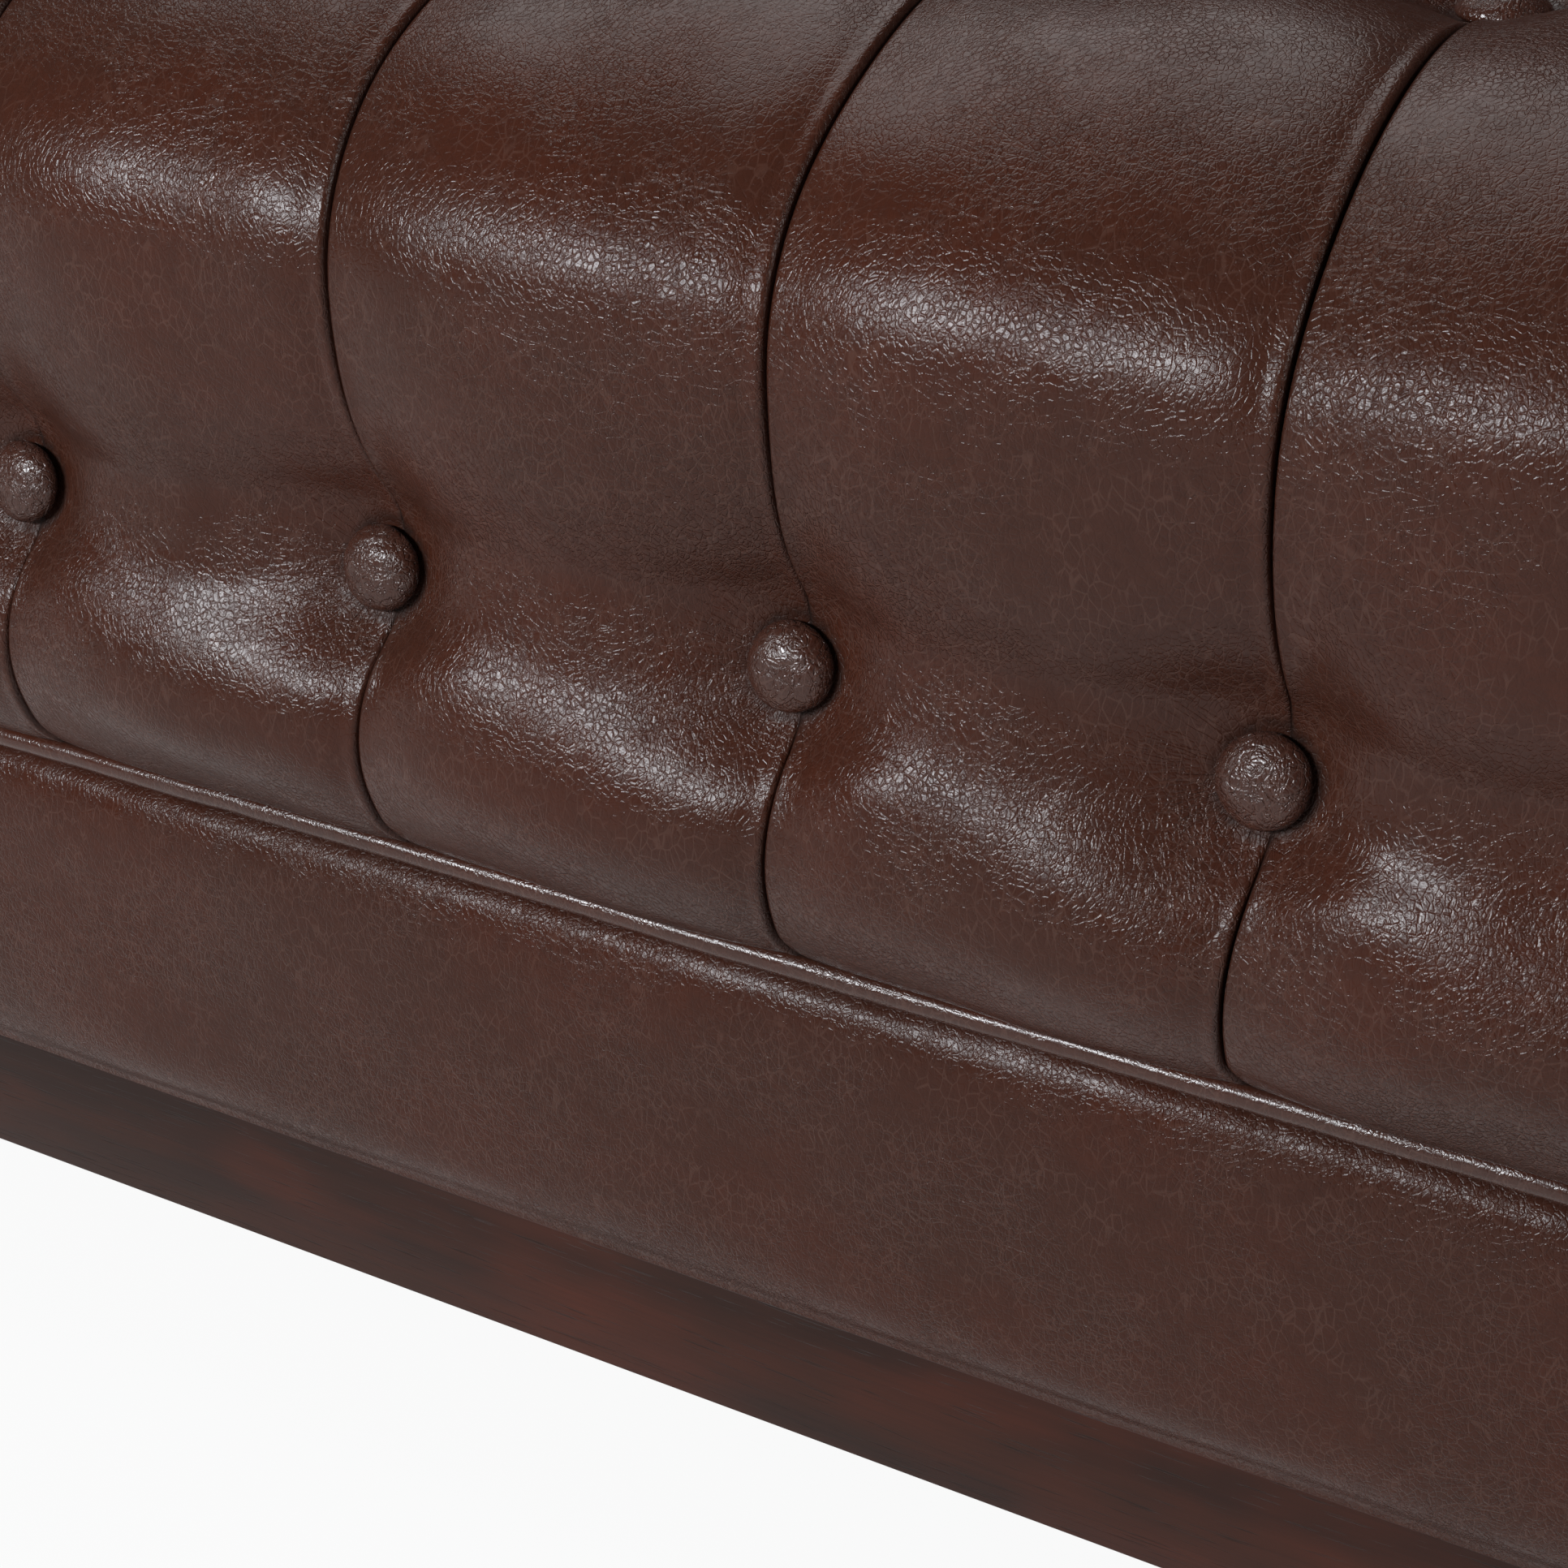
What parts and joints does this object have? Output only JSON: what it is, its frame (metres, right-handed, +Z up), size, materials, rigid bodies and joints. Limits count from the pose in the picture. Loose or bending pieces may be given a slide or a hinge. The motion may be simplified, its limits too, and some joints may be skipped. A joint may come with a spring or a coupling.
{
  "type": "tufted sofa",
  "caption": "Three-seat sofa with scroll arms and back of one height, tight seat and walls button-tufted in pleated channels, piped front rail, dark wood plinth and tapered legs",
  "frame": {"origin": "on the floor, under the middle of the sofa's overall box", "axes": "+X to the sofa's right arm as seen from the front, -Y out of the front, +Z up"},
  "size_m": [1.9376, 0.7828, 0.744],
  "materials": {
    "tufted_leather": "dark brown glossy leather with fine grain, tufted in pleated channels",
    "smooth_leather": "dark brown glossy leather with fine grain, stretched smooth",
    "button_leather": "dark brown leather drawn over a button, crinkled",
    "dark_wood": "dark reddish brown walnut stain, satin",
    "frame_wood": "planed softwood, unfinished",
    "steel": "plain zinc steel",
    "nylon": "black nylon",
    "foam": "open-cell upholstery foam",
    "dust_cloth": "black non-woven cloth",
    "hessian": "natural jute",
    "twine": "waxed tufting twine",
    "board": "grey-brown tacking board"
  },
  "bodies": {
    "root": {"front_plinth_rail": "dark_wood", "rear_plinth_rail": "dark_wood", "left_plinth_rail": "dark_wood", "right_plinth_rail": "dark_wood", "corner_blocks": "frame_wood", "centre_stretcher": "frame_wood", "front_left_leg": "dark_wood", "front_right_leg": "dark_wood", "rear_left_leg": "dark_wood", "rear_right_leg": "dark_wood", "centre_leg": "dark_wood", "leg_bolts": "steel", "leg_glides": "nylon", "dust_cover": "dust_cloth", "front_seat_rail": "frame_wood", "rear_seat_rail": "frame_wood", "left_seat_rail": "frame_wood", "right_seat_rail": "frame_wood", "seat_springs": "steel", "spring_clips": "steel", "deck_cloth": "hessian", "seat_foam": "foam", "button_twines": "twine", "seat_cover": "tufted_leather", "seat_front_buttons": "button_leather", "seat_top_buttons": "button_leather", "front_rail_cover": "smooth_leather", "front_piping": "smooth_leather", "back_posts": "frame_wood", "back_top_rail": "frame_wood", "back_tuck_rail": "frame_wood", "back_webbing": "hessian", "back_foam": "foam", "back_cover": "tufted_leather", "back_buttons": "button_leather", "outside_back_panel": "smooth_leather", "tacking_strips": "board", "left_arm_posts": "frame_wood", "left_arm_top_rail": "frame_wood", "left_arm_tuck_rail": "frame_wood", "left_arm_webbing": "hessian", "left_arm_foam": "foam", "left_arm_cover": "tufted_leather", "left_arm_buttons": "button_leather", "left_outside_arm_panel": "smooth_leather", "left_arm_facing": "smooth_leather", "left_facing_piping": "smooth_leather", "right_arm_posts": "frame_wood", "right_arm_top_rail": "frame_wood", "right_arm_tuck_rail": "frame_wood", "right_arm_webbing": "hessian", "right_arm_foam": "foam", "right_arm_cover": "tufted_leather", "right_arm_buttons": "button_leather", "right_outside_arm_panel": "smooth_leather", "right_arm_facing": "smooth_leather", "right_facing_piping": "smooth_leather", "frame_screws": "steel"}
  },
  "joints": []
}
